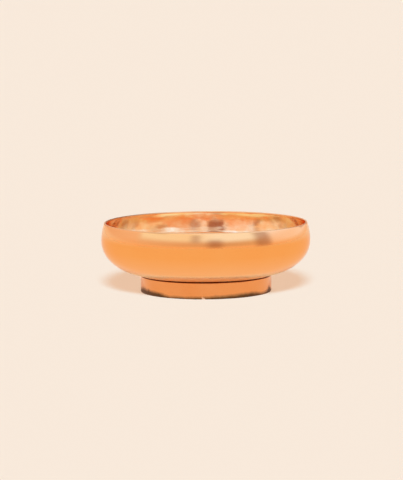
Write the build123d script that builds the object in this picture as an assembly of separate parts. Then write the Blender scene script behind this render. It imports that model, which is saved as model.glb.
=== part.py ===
from build123d import *
import os
from math import acos, asin, cos, degrees, radians, sin, sqrt

# Offering bowl of polished copper on a low hoop foot, in millimetres. +Z is up and -Y is the front.
# The origin is on the table, under the middle of the bowl.

# Bowl: one sheet, a shallow dish that bends up by a flank to a round belly and a rim that leans in
BELLY_DIAMETER = 90.0  # outside, at the widest
BELLY_ARC = 12.1  # outside radius of the bend below the widest point
FLANK_TURN = 46.0  # degrees by which the belly has turned under when it passes into the flank
FLANK_ARC = 19.8  # outside radius of the bend from the belly down to the dish
DISH_ARC = 108.0  # outside radius of the dish, centred on the bowl's axis
DISH_CLEARANCE = 3.5  # from the table up to the lowest point of the dish
SHOULDER_HEIGHT = 7.6  # from the widest point up to the rim
RIM_INSET = 1.4  # how far the rim leans in from the widest point
SHEET = 0.8  # thickness of the sheet
RIM_ROUND = 0.3  # radius on both edges of the rim

# Foot: a strip bent to a hoop, with its two ends meeting near the front
FOOT_DIAMETER = 56.3  # outside
FOOT_STRIP = 1.0  # thickness of the strip
FOOT_EDGE_ROUND = 0.2  # radius on the strip's long edges

# Seam of the hoop: brazed, and the lower corner of its right-hand end is filed off and filled
SEAM_TURN = 3.7  # degrees to the left of the front
SEAM_WIDTH = 0.2  # gap between the two ends
NOTCH_WIDTH = 1.7  # of the filed corner and the gap, along the lower edge
NOTCH_HEIGHT = 1.3
BRAZE_BEAD = 0.3  # how far the braze stands in from the inside of the strip
BRAZE_SHORT = 0.15  # how far the braze stops above the strip's lower edge

# Solder: run in from the inside, so that the outside keeps an open crevice
SOLDER_GAP = 0.1  # between the hoop's inner top edge and the dish
SOLDER_LEG = 1.6  # of the inner fillet, along the strip and along the dish
SOLDER_SAG = 0.35  # how hollow the fillet is
SOLDER_REACH = 0.5  # how far the solder runs out between the strip and the dish

# Largest share of a wall that the radius on one of its edges may take
ROUND_LIMIT = 0.45

# Lengths that follow from these
belly_radius = BELLY_DIAMETER / 2
belly_centre = belly_radius - BELLY_ARC
flank_out = (FLANK_ARC - BELLY_ARC) * cos(radians(FLANK_TURN))
flank_up = (FLANK_ARC - BELLY_ARC) * sin(radians(FLANK_TURN))
flank_centre = belly_centre - flank_out
dish_step = DISH_ARC - FLANK_ARC
dish_turn = degrees(acos(flank_centre / dish_step))
dish_centre = DISH_CLEARANCE + DISH_ARC
flank_height = dish_centre - sqrt(dish_step**2 - flank_centre**2)
belly_height = flank_height - flank_up
shoulder_arc = (SHOULDER_HEIGHT**2 + RIM_INSET**2) / (2 * RIM_INSET)
rim_height = belly_height + SHOULDER_HEIGHT
foot_outside = FOOT_DIAMETER / 2
foot_inside = foot_outside - FOOT_STRIP


def underside(radius):
    """Height of the bowl's outer surface at a distance from the axis, below the widest point."""
    if radius * dish_step <= DISH_ARC * flank_centre:
        return dish_centre - sqrt(DISH_ARC**2 - radius**2)
    if radius <= flank_centre + FLANK_ARC * cos(radians(FLANK_TURN)):
        return flank_height - sqrt(FLANK_ARC**2 - (radius - flank_centre) ** 2)
    return belly_height - sqrt(BELLY_ARC**2 - (radius - belly_centre) ** 2)


foot_height = underside(foot_inside) - SOLDER_GAP


def turned(section):
    """Solid of revolution of a section drawn as (distance from the axis, height)."""
    return revolve(Plane.XZ * section, Axis.Z)


def filled_bowl(growth):
    """Section of the bowl filled to the rim, with its outer surface moved out by growth."""
    dish = CenterArc((0, dish_centre), DISH_ARC + growth, -90, 90 - dish_turn)
    flank = CenterArc((flank_centre, flank_height), FLANK_ARC + growth, -dish_turn, dish_turn - FLANK_TURN)
    belly = CenterArc((belly_centre, belly_height), BELLY_ARC + growth, -FLANK_TURN, FLANK_TURN)
    shoulder_radius = shoulder_arc + growth
    rim_angle = degrees(asin(SHOULDER_HEIGHT / shoulder_radius))
    shoulder = CenterArc((belly_radius - shoulder_arc, belly_height), shoulder_radius, 0, rim_angle)
    mouth = Line(shoulder @ 1, (0, rim_height))
    middle = Line((0, rim_height), dish @ 0)
    return make_face([dish, flank, belly, shoulder, mouth, middle])


def upright(inside, outside, bottom, top):
    """Rectangular section between two distances from the axis and two heights."""
    middle = ((inside + outside) / 2, (bottom + top) / 2)
    return Pos(*middle) * Rectangle(outside - inside, top - bottom)


def bowl_shell():
    """The sheet between the outer surface and the inner one, with the rim's edges rounded."""
    section = filled_bowl(0) - filled_bowl(-SHEET)
    rim = section.vertices().group_by(Axis.Y)[-1]
    return turned(fillet(rim, min(RIM_ROUND, ROUND_LIMIT * SHEET)))


def strip_section():
    """Section of the strip, standing on the table under the dish."""
    section = upright(foot_inside, foot_outside, 0, foot_height)
    return fillet(section.vertices(), min(FOOT_EDGE_ROUND, ROUND_LIMIT * FOOT_STRIP))


def at_seam(shape):
    """Place at the seam of a shape that is drawn at the front of the strip."""
    return Rot(Z=-SEAM_TURN) * Pos(Y=-(foot_inside + foot_outside) / 2) * shape


def seam_gap():
    """The gap between the strip's ends and the filed corner, through the strip and past its inside."""
    left = -SEAM_WIDTH / 2
    right = SEAM_WIDTH / 2
    filed = left + NOTCH_WIDTH
    corners = [(left, 0), (filed, 0), (right, NOTCH_HEIGHT), (right, foot_height), (left, foot_height)]
    outline = make_face(Polyline(*corners, close=True))
    return at_seam(extrude(Plane.XZ * outline, FOOT_STRIP + BRAZE_BEAD, both=True))


def foot_ring():
    """The hoop, open at its seam."""
    return turned(strip_section()) - seam_gap()


def foot_solder():
    """The solder's ring: a hollow fillet inside the hoop that reaches in under the dish."""
    on_dish = (foot_inside - SOLDER_LEG, underside(foot_inside - SOLDER_LEG))
    on_strip = (foot_inside, foot_height - SOLDER_LEG)
    half_way = ((on_dish[0] + on_strip[0]) / 2, (on_dish[1] + on_strip[1]) / 2)
    hollow = (half_way[0] + SOLDER_SAG * sqrt(0.5), half_way[1] + SOLDER_SAG * sqrt(0.5))
    reach = foot_inside + SOLDER_REACH
    above = underside(reach) + SHEET / 2
    outline = [
        ThreePointArc(on_dish, hollow, on_strip),
        Polyline(on_strip, (reach, on_strip[1]), (reach, above), (on_dish[0], above), on_dish),
    ]
    return turned(make_face(outline) - filled_bowl(0) - strip_section())


def foot_seam_braze():
    """The braze in the seam, flush outside and a low bead inside, which ends under the solder's fillet."""
    inner = foot_inside - BRAZE_BEAD
    bead = upright(inner, foot_inside + FOOT_STRIP / 2, 0, foot_height - SOLDER_LEG)
    section = (strip_section() + bead) & upright(inner, foot_outside, BRAZE_SHORT, foot_height)
    return turned(section) & seam_gap()


os.makedirs("parts", exist_ok=True)
for make in (bowl_shell, foot_ring, foot_solder, foot_seam_braze):
    export_step(make(), f"parts/{make.__name__}.step")
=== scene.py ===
from math import acos, asin, atan2, cos, degrees, exp, pi, radians, sin, sqrt, tau
import bmesh
import bpy
from mathutils import Euler, Matrix, Vector, noise


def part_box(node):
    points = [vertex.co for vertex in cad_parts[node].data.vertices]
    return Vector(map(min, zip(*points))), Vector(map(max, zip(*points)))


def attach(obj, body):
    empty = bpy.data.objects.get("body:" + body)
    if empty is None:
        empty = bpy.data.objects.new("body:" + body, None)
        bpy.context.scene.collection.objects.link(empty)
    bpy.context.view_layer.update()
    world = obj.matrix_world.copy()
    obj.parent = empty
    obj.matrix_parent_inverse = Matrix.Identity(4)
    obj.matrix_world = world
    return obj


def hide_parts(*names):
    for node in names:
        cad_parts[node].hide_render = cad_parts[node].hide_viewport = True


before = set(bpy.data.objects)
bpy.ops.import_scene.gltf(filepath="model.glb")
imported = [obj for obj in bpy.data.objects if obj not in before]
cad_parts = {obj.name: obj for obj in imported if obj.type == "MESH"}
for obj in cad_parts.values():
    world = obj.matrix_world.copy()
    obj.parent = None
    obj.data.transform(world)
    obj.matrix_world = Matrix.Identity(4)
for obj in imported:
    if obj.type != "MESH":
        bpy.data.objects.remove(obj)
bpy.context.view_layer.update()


# Bowl: one disc of copper sheet raised to a shallow dish with a round belly, where it is thinnest. The cut
# rim was softened with a file. The bowl was planished from the inside, which keeps broad shallow hammer
# marks, deepest on the wall, and the outside was buffed to a mirror.
BELLY_ARC = 0.0121
FLANK_TURN = radians(46)
FLANK_ARC = 0.0198
DISH_ARC = 0.108
RIM_INSET = 0.0014
SHEET = 0.0008
SECTORS = 16
SECTOR_STEPS = 32
HAMMER_MARK = 0.0065
WALL_MARK_DEPTH = 0.00014
DISH_MARK_DEPTH = WALL_MARK_DEPTH / 3
MARKS_DEEPEN = 0.004  # height above the widest point over which the marks get deeper
MARK_MEAN = 0.3  # mean of a mark's rise, taken off so that the sheet keeps its place
WAVE = 0.016
WAVE_DEPTH_INSIDE = 0.00012
WAVE_DEPTH_OUTSIDE = 0.00003
THINNED = 0.0003
THINNED_MOST = 0.0038  # below the widest point, where the sheet is thinnest
THINNED_END = 0.011  # below the widest point, where it is full again
bowl_low, bowl_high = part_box("bowl_shell")
foot_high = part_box("foot_ring")[1]
belly_radius = bowl_high.x
belly_centre = belly_radius - BELLY_ARC
flank_centre = belly_centre - (FLANK_ARC - BELLY_ARC) * cos(FLANK_TURN)
dish_centre = bowl_low.z + DISH_ARC
dish_step = DISH_ARC - FLANK_ARC
dish_turn = acos(flank_centre / dish_step)
flank_height = dish_centre - sqrt(dish_step**2 - flank_centre**2)
belly_height = flank_height - (FLANK_ARC - BELLY_ARC) * sin(FLANK_TURN)
shoulder_height = bowl_high.z - belly_height
shoulder_arc = (shoulder_height**2 + RIM_INSET**2) / (2 * RIM_INSET)
shoulder_centre = belly_radius - shoulder_arc
wall_middle = shoulder_arc - SHEET / 2
rim_angle = asin((shoulder_height - SHEET / 2) / wall_middle)
foot_angle = asin(foot_high.x / DISH_ARC)
dish_angle = pi / 2 - dish_turn


def swept(bm, corner, centre, angle, steps):
    """Carries a corner of an upright section round a centre, leaving edges, and returns the last one."""
    last = bmesh.ops.spin(
        bm, geom=[corner], cent=(centre[0], 0, centre[1]), axis=(0, -1, 0), angle=angle, steps=steps
    )["geom_last"]
    return next(part for part in last if isinstance(part, bmesh.types.BMVert))


def turned(bm, sectors, steps):
    """Turns the section in the mesh into one sector about the upright axis, and repeats that all round."""
    sector_angle = tau / sectors
    section = bm.verts[:] + bm.edges[:]
    bmesh.ops.spin(bm, geom=section, cent=(0, 0, 0), axis=(0, 0, 1), angle=sector_angle, steps=steps)
    sector = bm.verts[:] + bm.edges[:] + bm.faces[:]
    bmesh.ops.spin(
        bm, geom=sector, cent=(0, 0, 0), axis=(0, 0, 1), angle=tau - sector_angle, steps=sectors - 1,
        use_duplicate=True,
    )
    bmesh.ops.remove_doubles(bm, verts=bm.verts[:], dist=1e-6)
    bmesh.ops.recalc_face_normals(bm, faces=bm.faces[:])
    bm.normal_update()


def as_piece(bm, name, material):
    """Makes the finished mesh an object of the scene, smooth all over."""
    for face in bm.faces:
        face.smooth = True
    mesh = bpy.data.meshes.new(name)
    bm.to_mesh(mesh)
    bm.free()
    mesh.materials.append(material)
    piece = bpy.data.objects.new(name, mesh)
    bpy.context.scene.collection.objects.link(piece)
    return piece


def linear(colour):
    """Linear RGBA of an sRGB hex colour."""
    channels = [int(colour[start:start + 2], 16) / 255 for start in (1, 3, 5)]
    return [*(c / 12.92 if c <= 0.04045 else ((c + 0.055) / 1.055) ** 2.4 for c in channels), 1.0]


def add(tree, kind, inputs=None, **settings):
    """Adds a node with its settings; an input given as a socket is linked, and any other is set."""
    node = tree.nodes.new("ShaderNode" + kind)
    for name, value in settings.items():
        setattr(node, name, value)
    for name, value in (inputs or {}).items():
        if isinstance(value, bpy.types.NodeSocket):
            tree.links.new(value, node.inputs[name])
        else:
            node.inputs[name].default_value = value
    return node


bm = bmesh.new()
hammered = bm.verts.layers.float.new("hammered")
corner = bm.verts.new((0, 0, bowl_low.z))
corner = swept(bm, corner, (0, dish_centre), foot_angle, steps=14)
corner = swept(bm, corner, (0, dish_centre), dish_angle - foot_angle, steps=8)
corner = swept(bm, corner, (flank_centre, flank_height), dish_turn - FLANK_TURN, steps=12)
corner = swept(bm, corner, (belly_centre, belly_height), FLANK_TURN, steps=18)
corner = swept(bm, corner, (shoulder_centre, belly_height), rim_angle, steps=15)
rim_middle = (shoulder_centre + wall_middle * cos(rim_angle), belly_height + wall_middle * sin(rim_angle))
corner = swept(bm, corner, rim_middle, pi, steps=8)
outside_count = len(bm.verts)
corner = swept(bm, corner, (shoulder_centre, belly_height), -rim_angle, steps=16)
corner = swept(bm, corner, (belly_centre, belly_height), -FLANK_TURN, steps=20)
corner = swept(bm, corner, (flank_centre, flank_height), FLANK_TURN - dish_turn, steps=15)
corner = swept(bm, corner, (0, dish_centre), -dish_angle, steps=54)
bm.verts.ensure_lookup_table()
for vert in bm.verts[outside_count:]:
    vert[hammered] = 1.0
turned(bm, SECTORS, SECTOR_STEPS)
moves = []
for vert in bm.verts:
    rise = noise.noise(vert.co / WAVE)
    if vert[hammered]:
        near, _ = noise.voronoi(vert.co / HAMMER_MARK)
        below = belly_height - vert.co.z
        up_the_wall = min(max(-below / MARKS_DEEPEN, 0.0), 1.0)
        depth = DISH_MARK_DEPTH + (WALL_MARK_DEPTH - DISH_MARK_DEPTH) * up_the_wall
        share = min(below / THINNED_MOST, (THINNED_END - below) / (THINNED_END - THINNED_MOST))
        share = min(max(share, 0.0), 1.0)
        thinned = THINNED * share**2 * (3 - 2 * share)
        moves.append(depth * (near[0] ** 2 - MARK_MEAN) + WAVE_DEPTH_INSIDE * rise - thinned)
    else:
        moves.append(WAVE_DEPTH_OUTSIDE * rise)
for vert, move in zip(bm.verts, moves):
    vert.co += vert.normal * move

# Buffed copper: a mirror, warm orange outside, and painted paler on the shoulder and underneath as a painted
# sheen.
# Inside, the wall is mottled and painted pale, a painted sheen that lightens its reflections, and the dish is
# deeper in colour. Two golden patches under the far rim are a painted reflection. The filed rim is duller,
# with a painted highlight along it, and browned at the back left. Over the foot dried polish dims the sheet,
# and from the crevice inwards the underside is painted red-brown, a painted shade.
CLOUD = 0.014
MOTTLE = 0.004
MOTTLE_RANGE = (0.3, 0.7)
GLINT_SPECK = 0.007
GLINT_CUT = 6.0  # which cut through the pattern is used
GLINT_RANGE = (0.28, 0.48)
SMEAR = 0.005
BUFFED_ROUGHNESS = (0.07, 0.13)
FILM_ROUGHNESS = 0.35
FILED_ROUGHNESS = 0.45
BUFFING_LINE = 0.0004  # the real lines are finer, and these are as coarse as a close view needs
BUFFING_DEPTH = 6e-7
WALL_TO_DISH = (0.0165, 0.0112)  # heights between which the wall passes into the dish
LOWER_SHEEN = (0.019, 0.009)  # heights
SHOULDER_SHEEN = (belly_height + 0.0005, belly_height + 0.005)
GLINT_HEIGHT = (0.0250, 0.0275)
GLINT_BACK = (0.018, 0.034)  # from the middle to the back
GLINT_ASIDE = (0.004, 0.010)  # from the middle to each side
POLISH_FILM = (0.0392, 0.0350)  # distances from the axis
CREVICE_SHADE = (0.0296, 0.0288)  # distances from the axis
FILED_RIM = (bowl_high.z - 0.0005, bowl_high.z - 0.0002)
BROWNED_LEFT = (-0.012, -0.036)
BROWNED_BACK = (-0.010, 0.020)
copper = bpy.data.materials.new("polished_copper_planished")
copper.use_nodes = True
tree = copper.node_tree
shader = tree.nodes["Principled BSDF"]
shader.inputs["Metallic"].default_value = 1.0
shader.inputs["Specular Tint"].default_value = linear("#FFEEDE")
place = add(tree, "TexCoord").outputs["Object"]
spot = add(tree, "SeparateXYZ", {"Vector": place})
height = spot.outputs["Z"]
flat = add(tree, "VectorMath", {0: place, 1: (1, 1, 0)}, operation="MULTIPLY")
radius = add(tree, "VectorMath", {0: flat.outputs[0]}, operation="LENGTH").outputs["Value"]
inside = add(tree, "Attribute", attribute_name="hammered").outputs["Fac"]
outside = add(tree, "Math", {0: 1.0, 1: inside}, operation="SUBTRACT").outputs[0]

cloud = add(tree, "TexNoise", {"Vector": place, "Scale": 1 / CLOUD, "Detail": 3.0}).outputs["Fac"]
outer = add(tree, "Mix", {0: cloud, 6: linear("#FFAB5B"), 7: linear("#FFB468")}, data_type="RGBA")
# Painted sheen: the lower body is painted paler, which brightens what it mirrors.
painted_lower_sheen = add(tree, "MapRange", {"Value": height, "From Min": LOWER_SHEEN[0], "From Max": LOWER_SHEEN[1]})
outer = add(tree, "Mix", {0: painted_lower_sheen.outputs[0], 6: outer.outputs[2], 7: linear("#FFBD82")}, data_type="RGBA")
# Painted highlight: the shoulder is painted paler, so that the bright band it mirrors reads pale.
painted_shoulder_sheen = add(tree, "MapRange", {"Value": height, "From Min": SHOULDER_SHEEN[0], "From Max": SHOULDER_SHEEN[1]},
               interpolation_type="SMOOTHSTEP")
outer = add(tree, "Mix", {0: painted_shoulder_sheen.outputs[0], 6: outer.outputs[2], 7: linear("#FFCE9C")},
            data_type="RGBA")

mottle = add(tree, "TexNoise", {"Vector": place, "Scale": 1 / MOTTLE, "Detail": 1.0}).outputs["Fac"]
mottle = add(tree, "MapRange", {"Value": mottle, "From Min": MOTTLE_RANGE[0], "From Max": MOTTLE_RANGE[1]})
# Painted sheen: the inside wall is painted pale, paler than copper, which lightens its reflections; the
# mottle is random tone.
wall = add(tree, "Mix", {0: mottle.outputs[0], 6: linear("#FFE0BE"), 7: linear("#FFFCF4")}, data_type="RGBA")
dish = add(tree, "Mix", {0: cloud, 6: linear("#FFCCA2"), 7: linear("#FFD9B6")}, data_type="RGBA")
into_dish = add(tree, "MapRange", {"Value": height, "From Min": WALL_TO_DISH[0], "From Max": WALL_TO_DISH[1]},
             interpolation_type="SMOOTHSTEP")
inner = add(tree, "Mix", {0: into_dish.outputs[0], 6: wall.outputs[2], 7: dish.outputs[2]}, data_type="RGBA")
# Painted reflection: two golden patches on the far wall under the rim, one each side of the middle.
painted_glint = add(tree, "MapRange", {"Value": height, "From Min": GLINT_HEIGHT[0], "From Max": GLINT_HEIGHT[1]},
             interpolation_type="SMOOTHSTEP")
at_back = add(tree, "MapRange",
              {"Value": spot.outputs["Y"], "From Min": GLINT_BACK[0], "From Max": GLINT_BACK[1]})
painted_glint = add(tree, "Math", {0: painted_glint.outputs[0], 1: at_back.outputs[0]}, operation="MULTIPLY")
aside = add(tree, "Math", {0: spot.outputs["X"]}, operation="ABSOLUTE")
aside = add(tree, "MapRange",
            {"Value": aside.outputs[0], "From Min": GLINT_ASIDE[0], "From Max": GLINT_ASIDE[1]})
painted_glint = add(tree, "Math", {0: painted_glint.outputs[0], 1: aside.outputs[0]}, operation="MULTIPLY")
speck = add(tree, "TexNoise", {"Vector": place, "W": GLINT_CUT, "Scale": 1 / GLINT_SPECK, "Detail": 1.0},
            noise_dimensions="4D").outputs["Fac"]
speck = add(tree, "MapRange", {"Value": speck, "From Min": GLINT_RANGE[0], "From Max": GLINT_RANGE[1]})
glint_colour = add(tree, "Mix", {0: speck.outputs[0], 6: linear("#FFD49A"), 7: linear("#FFFAD2")}, data_type="RGBA")
inner = add(tree, "Mix", {0: painted_glint.outputs[0], 6: inner.outputs[2], 7: glint_colour.outputs[2]}, data_type="RGBA")

clean = add(tree, "Mix", {0: inside, 6: outer.outputs[2], 7: inner.outputs[2]}, data_type="RGBA")
film = add(tree, "MapRange", {"Value": radius, "From Min": POLISH_FILM[0], "From Max": POLISH_FILM[1],
                              "To Max": outside}, interpolation_type="SMOOTHSTEP")
coloured = add(tree, "Mix", {0: film.outputs[0], 6: clean.outputs[2], 7: linear("#F4DAB0")}, data_type="RGBA")
# Painted shade: the crevice and the underside inside the foot are painted red-brown.
darkened = add(tree, "MapRange", {"Value": radius, "From Min": CREVICE_SHADE[0], "From Max": CREVICE_SHADE[1],
                               "To Max": outside}, interpolation_type="SMOOTHSTEP")
coloured = add(tree, "Mix", {0: darkened.outputs[0], 6: coloured.outputs[2], 7: linear("#8A2A00")}, data_type="RGBA")
# Painted highlight: the rim's edge is painted paler; its dullness comes from its roughness.
at_rim = add(tree, "MapRange", {"Value": height, "From Min": FILED_RIM[0], "From Max": FILED_RIM[1]})
coloured = add(tree, "Mix", {0: at_rim.outputs[0], 6: coloured.outputs[2], 7: linear("#FFCB98")}, data_type="RGBA")
at_left = add(tree, "MapRange",
              {"Value": spot.outputs["X"], "From Min": BROWNED_LEFT[0], "From Max": BROWNED_LEFT[1]})
browned = add(tree, "Math", {0: at_rim.outputs[0], 1: at_left.outputs[0]}, operation="MULTIPLY")
behind = add(tree, "MapRange",
             {"Value": spot.outputs["Y"], "From Min": BROWNED_BACK[0], "From Max": BROWNED_BACK[1]})
browned = add(tree, "Math", {0: browned.outputs[0], 1: behind.outputs[0]}, operation="MULTIPLY")
coloured = add(tree, "Mix", {0: browned.outputs[0], 6: coloured.outputs[2], 7: linear("#B06A38")}, data_type="RGBA")
tree.links.new(coloured.outputs[2], shader.inputs["Base Color"])

smear = add(tree, "TexNoise", {"Vector": place, "Scale": 1 / SMEAR, "Detail": 2.0}).outputs["Fac"]
gloss = add(tree, "MapRange", {"Value": smear, "To Min": BUFFED_ROUGHNESS[0], "To Max": BUFFED_ROUGHNESS[1]})
rough = add(tree, "Mix", {0: film.outputs[0], 2: gloss.outputs[0], 3: FILM_ROUGHNESS})
rough = add(tree, "Mix", {0: at_rim.outputs[0], 2: rough.outputs[0], 3: FILED_ROUGHNESS})
tree.links.new(rough.outputs[0], shader.inputs["Roughness"])
rings = add(tree, "CombineXYZ", {"X": radius, "Z": height}).outputs[0]
buffed = add(tree, "TexNoise", {"Vector": rings, "Scale": 1 / BUFFING_LINE, "Detail": 2.0}).outputs["Fac"]
bump = add(tree, "Bump", {"Strength": outside, "Distance": BUFFING_DEPTH, "Height": buffed})
tree.links.new(bump.outputs[0], shader.inputs["Normal"])

bowl = as_piece(bm, "bowl_planished", copper)
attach(bowl, "root")
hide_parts("bowl_shell")


# Foot: a strip of copper bent to a hoop with its ends butted near the front. The lower corner of the
# right-hand end was filed off, and handling has left the hoop not quite even.
FOOT_STRIP = 0.001
FOOT_EDGE_ROUND = 0.0002
FOOT_STEPS = 420
FOOT_CREASE = radians(35)
SEAM_TURN = radians(3.7)
SEAM_WIDTH = 0.0002
NOTCH_WIDTH = 0.0017
NOTCH_HEIGHT = 0.0013
FILE_REACH = 0.004  # from the seam to the right, past the filed corner
UNEVEN = 0.012
UNEVEN_DEPTH = 0.00006
TRUE_AT_SEAM = 8  # degrees each side of the seam over which the hoop comes true
CONTACT_SHADE_LINE = 0.0006
LOW_BAND_SPOTS = (  # degrees from the front to the right, spread in degrees, height
    (-68, 20, 0.0018), (-48, 8, 0.0006), (10, 10, 0.0004), (38, 14, 0.0012), (74, 6, 0.0018),
    (-118, 20, 0.0016), (-160, 9, 0.0008), (112, 14, 0.0013), (152, 22, 0.0018),
)
foot_middle = foot_high.x - FOOT_STRIP / 2
half_gap = asin(SEAM_WIDTH / 2 / foot_middle)
seam_angle = -pi / 2 - SEAM_TURN

bm = bmesh.new()
low_band = bm.verts.layers.float.new("low_band")
upright = Matrix.LocRotScale(
    (foot_middle, 0, foot_high.z / 2), Euler((pi / 2, 0, 0)), (FOOT_STRIP, foot_high.z, 1)
)
bmesh.ops.create_grid(bm, x_segments=1, y_segments=1, size=0.5, matrix=upright)
bmesh.ops.bevel(
    bm, geom=bm.verts[:], offset=FOOT_EDGE_ROUND, segments=4, profile=0.5, affect="VERTICES", material=-1
)
sides = [edge for edge in bm.edges if edge.calc_length() > FOOT_STRIP]
bmesh.ops.subdivide_edges(bm, edges=sides, cuts=9)
bmesh.ops.rotate(bm, verts=bm.verts[:], matrix=Matrix.Rotation(seam_angle + half_gap, 3, "Z"))
bmesh.ops.spin(
    bm, geom=bm.verts[:] + bm.edges[:] + bm.faces[:], cent=(0, 0, 0), axis=(0, 0, 1),
    angle=tau - 2 * half_gap, steps=FOOT_STEPS,
)
to_seam = Matrix.Rotation(SEAM_TURN, 3, "Z")
right_end = {vert for vert in bm.verts if 0 < (to_seam @ vert.co).x < FILE_REACH and vert.co.y < 0}
cut_edges = [edge for edge in bm.edges if right_end.issuperset(edge.verts)]
cut_faces = [face for face in bm.faces if right_end.issuperset(face.verts)]
filed_slope = Vector((-NOTCH_HEIGHT, 0, SEAM_WIDTH - NOTCH_WIDTH))
bmesh.ops.bisect_plane(
    bm, geom=list(right_end) + cut_edges + cut_faces, clear_outer=True,
    plane_no=to_seam.inverted() @ filed_slope,
    plane_co=to_seam.inverted() @ Vector((SEAM_WIDTH / 2, -foot_middle, NOTCH_HEIGHT)),
)
bmesh.ops.holes_fill(bm, edges=[edge for edge in bm.edges if edge.is_boundary], sides=0)
bmesh.ops.recalc_face_normals(bm, faces=bm.faces[:])
for vert in bm.verts:
    turn = degrees(atan2(vert.co.x, -vert.co.y))
    # The height of the low brown band: an even line of painted contact shade all round, with taller spots,
    # partly tarnish.
    vert[low_band] = CONTACT_SHADE_LINE
    for middle, spread, tall in LOW_BAND_SPOTS:
        apart = (turn - middle + 180) % 360 - 180
        vert[low_band] += tall * exp(-((apart / spread) ** 2))
    from_seam = min(1.0, abs(turn + degrees(SEAM_TURN)) / TRUE_AT_SEAM)
    outward = Vector((vert.co.x, vert.co.y, 0)).normalized()
    vert.co += outward * UNEVEN_DEPTH * from_seam * noise.noise(vert.co / UNEVEN)

# Copper strip: buffed less than the bowl. A ragged brown band runs along the lower edge, partly tarnish and
# partly painted shade where the strip meets the floor, and the top edge, in the corner under the dish, is
# painted red-brown as shade. The brown hides the mirror.
STRIP_CLOUD = 0.012
RAGGED = 0.005
LOW_BAND_EDGE = (-0.0011, 0.0008)  # depths below the band's outline, from clean to brown
TOP_EDGE = 0.0002
DRAWN_LINE = 0.0004  # the real lines are finer, and these are as coarse as a close view needs
DRAWN_DEPTH = 1e-6
strip_copper = bpy.data.materials.new("polished_copper_strip_tarnish_and_shade")
strip_copper.use_nodes = True
tree = strip_copper.node_tree
shader = tree.nodes["Principled BSDF"]
place = add(tree, "TexCoord").outputs["Object"]
height = add(tree, "SeparateXYZ", {"Vector": place}).outputs["Z"]
cloud = add(tree, "TexNoise", {"Vector": place, "Scale": 1 / STRIP_CLOUD, "Detail": 3.0}).outputs["Fac"]
clean = add(tree, "Mix", {0: cloud, 6: linear("#EE9450"), 7: linear("#F8AA6C")}, data_type="RGBA")
spots = add(tree, "Attribute", attribute_name="low_band").outputs["Fac"]
ragged = add(tree, "TexNoise", {"Vector": place, "Scale": 1 / RAGGED, "Detail": 2.0}).outputs["Fac"]
ragged = add(tree, "MapRange",
             {"Value": ragged, "From Min": 0.25, "From Max": 0.75, "To Min": 0.7, "To Max": 1.3})
# The ragged low band: painted contact shade along the lower edge, partly tarnish.
reach = add(tree, "Math", {0: spots, 1: ragged.outputs[0]}, operation="MULTIPLY")
below = add(tree, "Math", {0: reach.outputs[0], 1: height}, operation="SUBTRACT").outputs[0]
low = add(tree, "MapRange", {"Value": below, "From Min": LOW_BAND_EDGE[0], "From Max": LOW_BAND_EDGE[1]},
          interpolation_type="SMOOTHSTEP")
# Painted shade: the top edge, in the corner under the dish, is painted red-brown.
high = add(tree, "MapRange", {"Value": height, "From Min": foot_high.z - TOP_EDGE, "From Max": foot_high.z})
darkened = add(tree, "Math", {0: low.outputs[0], 1: high.outputs[0]}, operation="MAXIMUM").outputs[0]
brown = add(tree, "Mix", {0: cloud, 6: linear("#4A2808"), 7: linear("#784616")}, data_type="RGBA")
brown = add(tree, "Mix", {0: high.outputs[0], 6: brown.outputs[2], 7: linear("#6E2204")}, data_type="RGBA")
coloured = add(tree, "Mix", {0: darkened, 6: clean.outputs[2], 7: brown.outputs[2]}, data_type="RGBA")
tree.links.new(coloured.outputs[2], shader.inputs["Base Color"])
metal = add(tree, "MapRange", {"Value": darkened, "To Min": 1.0, "To Max": 0.5})
tree.links.new(metal.outputs[0], shader.inputs["Metallic"])
rough = add(tree, "MapRange", {"Value": darkened, "To Min": 0.13, "To Max": 0.5})
tree.links.new(rough.outputs[0], shader.inputs["Roughness"])
along = add(tree, "CombineXYZ", {"Z": height}).outputs[0]
drawn = add(tree, "TexNoise", {"Vector": along, "Scale": 1 / DRAWN_LINE, "Detail": 2.0}).outputs["Fac"]
bump = add(tree, "Bump", {"Distance": DRAWN_DEPTH, "Height": drawn})
tree.links.new(bump.outputs[0], shader.inputs["Normal"])

foot = as_piece(bm, "foot_hoop_bent", strip_copper)
foot.data.set_sharp_from_angle(angle=FOOT_CREASE)
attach(foot, "root")
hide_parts("foot_ring")


# Braze: brass run into the seam and over the filed corner, then filed flush outside. It shows as one small
# pale spot on the lower edge, because a film of copper was rubbed over the seam above it.
# Filed brass: pale and dull with a fine grain at the bottom, and as bright as the strip where it was rubbed.
FILE_GRAIN = 0.0004
FILE_DEPTH = 1e-5
RUBBED = (NOTCH_HEIGHT / 3, NOTCH_HEIGHT * 0.8)  # heights
braze = bpy.data.materials.new("filed_brass_braze")
braze.use_nodes = True
tree = braze.node_tree
shader = tree.nodes["Principled BSDF"]
shader.inputs["Metallic"].default_value = 1.0
place = add(tree, "TexCoord").outputs["Object"]
height = add(tree, "SeparateXYZ", {"Vector": place}).outputs["Z"]
grain = add(tree, "TexNoise", {"Vector": place, "Scale": 1 / FILE_GRAIN, "Detail": 2.0}).outputs["Fac"]
filed = add(tree, "Mix", {0: grain, 6: linear("#D6AE92"), 7: linear("#EFD2BA")}, data_type="RGBA")
rubbed = add(tree, "MapRange", {"Value": height, "From Min": RUBBED[0], "From Max": RUBBED[1]}).outputs[0]
colour = add(tree, "Mix", {0: rubbed, 6: filed.outputs[2], 7: linear("#F4A366")}, data_type="RGBA")
tree.links.new(colour.outputs[2], shader.inputs["Base Color"])
rough = add(tree, "MapRange", {"Value": rubbed, "To Min": 0.35, "To Max": 0.13})
tree.links.new(rough.outputs[0], shader.inputs["Roughness"])
bump = add(tree, "Bump", {"Distance": FILE_DEPTH, "Height": grain})
tree.links.new(bump.outputs[0], shader.inputs["Normal"])
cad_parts["foot_seam_braze"].material_slots[0].material = braze
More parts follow.
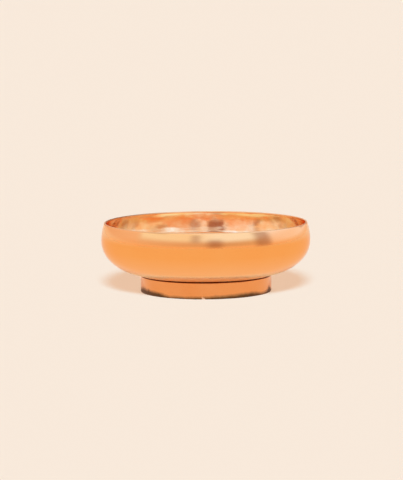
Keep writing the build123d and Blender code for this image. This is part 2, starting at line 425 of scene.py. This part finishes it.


# Solder: tin run in from the inside of the hoop, left as it froze in a hollow fillet under the dish. A thin
# edge of it reaches out between the strip and the dish, to the bottom of the crevice.
# Tin as run: grey and frosted, and painted red-brown where it is seen in the crevice, a painted shade.
FROST = 0.002
FROST_DEPTH = 5e-5
CREVICE = (foot_middle - 0.0005, foot_middle - 0.0003)  # distances from the axis
solder = bpy.data.materials.new("tin_solder_as_run")
solder.use_nodes = True
tree = solder.node_tree
shader = tree.nodes["Principled BSDF"]
shader.inputs["Metallic"].default_value = 1.0
place = add(tree, "TexCoord").outputs["Object"]
frost = add(tree, "TexNoise", {"Vector": place, "Scale": 1 / FROST, "Detail": 4.0}).outputs["Fac"]
bright = add(tree, "Mix", {0: frost, 6: linear("#8E8A84"), 7: linear("#C9C5BE")}, data_type="RGBA")
flat = add(tree, "VectorMath", {0: place, 1: (1, 1, 0)}, operation="MULTIPLY")
radius = add(tree, "VectorMath", {0: flat.outputs[0]}, operation="LENGTH").outputs["Value"]
# Painted shade: the solder's edge in the crevice is painted red-brown.
darkened = add(tree, "MapRange", {"Value": radius, "From Min": CREVICE[0], "From Max": CREVICE[1]}).outputs[0]
colour = add(tree, "Mix", {0: darkened, 6: bright.outputs[2], 7: linear("#6A1A00")}, data_type="RGBA")
tree.links.new(colour.outputs[2], shader.inputs["Base Color"])
rough = add(tree, "MapRange", {"Value": frost, "To Min": 0.3, "To Max": 0.55})
tree.links.new(rough.outputs[0], shader.inputs["Roughness"])
bump = add(tree, "Bump", {"Distance": FROST_DEPTH, "Height": frost})
tree.links.new(bump.outputs[0], shader.inputs["Normal"])
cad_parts["foot_solder"].material_slots[0].material = solder


# Floor: a wide sheet of cream paper under and behind the bowl. Matt paper gives no glint, only a soft
# shadow, and it is wide enough that no edge of it shows.
FLOOR_SIDE = 40.0
bm = bmesh.new()
bmesh.ops.create_grid(bm, x_segments=1, y_segments=1, size=FLOOR_SIDE / 2)
paper = bpy.data.materials.new("cream_paper_matt")
paper.use_nodes = True
shader = paper.node_tree.nodes["Principled BSDF"]
shader.inputs["Base Color"].default_value = linear("#EDE0D2")
shader.inputs["Roughness"].default_value = 0.9
shader.inputs["Specular IOR Level"].default_value = 0.0
floor = as_piece(bm, "paper_floor", paper)


# Light: a tent of white cloth over the cream sweep, warm near its hem, with a roof, a bright box high up in
# front and a few soft cards that break the glare. The metal mirrors only these. The floor is lit by a soft
# key from the front and an even fill, which the metal doesn't mirror.
SWEEP_LIGHT = (0.95, 0.75, 0.60, 1.0)
TENT_LIGHT = (  # degrees from the front to the right, light near the hem, light high up, height of the change
    (-180, (1.00, 1.12, 1.40), (1.00, 1.12, 1.40), 0.7),
    (-168, (1.00, 1.12, 1.40), (1.00, 1.12, 1.40), 0.7),
    (-150, (0.88, 0.58, 0.41), (0.92, 0.78, 0.74), 0.7),
    (-86, (0.93, 0.64, 0.45), (0.92, 0.72, 0.62), 0.7),
    (-76, (0.88, 0.66, 0.49), (0.98, 0.97, 0.85), 0.36),
    (-20, (0.80, 0.58, 0.42), (0.98, 0.91, 0.76), 0.36),
    (12, (0.74, 0.54, 0.40), (1.00, 1.09, 1.16), 0.36),
    (60, (0.78, 0.58, 0.40), (1.00, 1.09, 1.16), 0.36),
    (80, (0.98, 0.80, 0.72), (1.02, 1.16, 1.50), 0.6),
    (115, (1.00, 0.86, 0.83), (1.02, 1.15, 1.50), 0.7),
    (170, (1.00, 1.12, 1.40), (1.00, 1.12, 1.40), 0.7),
    (180, (1.00, 1.12, 1.40), (1.00, 1.12, 1.40), 0.7),
)
ROOF_LIGHT = (0.95, 0.88, 0.80, 1.0)
CARD_LIGHT = (0.35, 0.15, 0.10, 1.0)
BOX_LIGHT = (1.05, 1.35, 1.70, 1.0)
HEM = (0.03, 0.12)  # heights on a sphere of radius 1, as the ones below
TENT_CHANGE = 0.16
ROOF = (0.72, 0.86)
CARDS = (  # first and last azimuth, lowest and highest elevation, softness of the edges, cover, light
    (-17, -6, 13, 31, 5, 0.45, CARD_LIGHT),
    (2, 18, 1, 20, 6, 0.55, CARD_LIGHT),
    (135, 175, 8, 80, 3, 0.92, CARD_LIGHT),
    (-166, -147, 6, 58, 3, 0.55, CARD_LIGHT),
    (57, 76, 0, 34, 6, 0.58, CARD_LIGHT),
    (-84, -50, 30, 55, 6, 0.50, CARD_LIGHT),
    (-60, 125, 60, 78, 5, 0.85, BOX_LIGHT),
)
LAMPS = (  # name, strength, colour, spread and elevation in degrees, whether it casts a shadow
    ("front_key", 2.1, (0.394, 1.0, 1.397), 12, 33, True),
    ("even_fill", 2.31, (1.32, 1.0, 0.798), 60, 90, False),
)
MIRRORINGS = 12
world = bpy.data.worlds.new("soft_studio")
bpy.context.scene.world = world
world.use_nodes = True
tree = world.node_tree
way = add(tree, "SeparateXYZ", {"Vector": add(tree, "TexCoord").outputs["Generated"]})
height = way.outputs["Z"]
ahead = add(tree, "Math", {0: way.outputs["Y"], 1: -1.0}, operation="MULTIPLY")
turn = add(tree, "Math", {0: way.outputs["X"], 1: ahead.outputs[0]}, operation="ARCTAN2").outputs[0]
lift = add(tree, "Math", {0: height}, operation="ARCSINE").outputs[0]
round_about = add(tree, "MapRange", {"Value": turn, "From Min": -pi, "From Max": pi})
rings = []
for ring in (1, 2):
    ramp = add(tree, "ValToRGB", {"Fac": round_about.outputs[0]})
    stops = ramp.color_ramp.elements
    while len(stops) < len(TENT_LIGHT):
        stops.new(0.5)
    for stop, light in zip(stops, TENT_LIGHT):
        stop.position = (light[0] + 180) / 360
        stop.color = (*light[ring], light[3])
    rings.append(ramp)
lower, upper = rings
up = add(tree, "MapRange", {"Value": height, "From Min": TENT_CHANGE, "From Max": lower.outputs["Alpha"]},
         interpolation_type="SMOOTHSTEP")
tent = add(tree, "Mix", {0: up.outputs[0], 6: lower.outputs["Color"], 7: upper.outputs["Color"]},
           data_type="RGBA")
roof = add(tree, "MapRange", {"Value": height, "From Min": ROOF[0], "From Max": ROOF[1]})
tent = add(tree, "Mix", {0: roof.outputs[0], 6: tent.outputs[2], 7: ROOF_LIGHT}, data_type="RGBA")
hem = add(tree, "MapRange", {"Value": height, "From Min": HEM[0], "From Max": HEM[1]},
          interpolation_type="SMOOTHSTEP")
sky = add(tree, "Mix", {0: hem.outputs[0], 6: SWEEP_LIGHT, 7: tent.outputs[2]}, data_type="RGBA").outputs[2]
for first, last, low, high, soft, cover, light in CARDS:
    card = cover
    edges = ((turn, first, soft), (turn, last, -soft), (lift, low, soft), (lift, high, -soft))
    for value, edge, inward in edges:
        ends = {"Value": value, "From Min": radians(edge - inward), "From Max": radians(edge + inward)}
        side = add(tree, "MapRange", ends, interpolation_type="SMOOTHSTEP")
        card = add(tree, "Math", {0: card, 1: side.outputs[0]}, operation="MULTIPLY").outputs[0]
    sky = add(tree, "Mix", {0: card, 6: sky, 7: light}, data_type="RGBA").outputs[2]
tree.links.new(sky, tree.nodes["Background"].inputs["Color"])
world.cycles_visibility.diffuse = False
for name, energy, colour, spread, elevation, shadow in LAMPS:
    lamp = bpy.data.objects.new(name, bpy.data.lights.new(name, "SUN"))
    bpy.context.scene.collection.objects.link(lamp)
    lamp.data.energy = energy
    lamp.data.color = colour
    lamp.data.angle = radians(spread)
    lamp.data.use_shadow = shadow
    lamp.rotation_euler = (pi / 2 - radians(elevation), 0, 0)
    lamp.visible_glossy = False
bpy.context.scene.cycles.glossy_bounces = MIRRORINGS
for piece in (bowl, foot):
    piece.visible_diffuse = False


# Camera: a long lens about a metre away and a little above the rim, held not quite level. The colours are
# shown as they are, without a film curve.
camera = bpy.data.objects.new("camera", bpy.data.cameras.new("camera"))
bpy.context.scene.collection.objects.link(camera)
camera.location = (-0.00183, -1.056, 0.1463)
camera.rotation_euler = (radians(83.28), radians(0.45), radians(-0.053))
camera.data.lens = 185.2
bpy.context.scene.camera = camera
bpy.context.scene.view_settings.view_transform = "Standard"
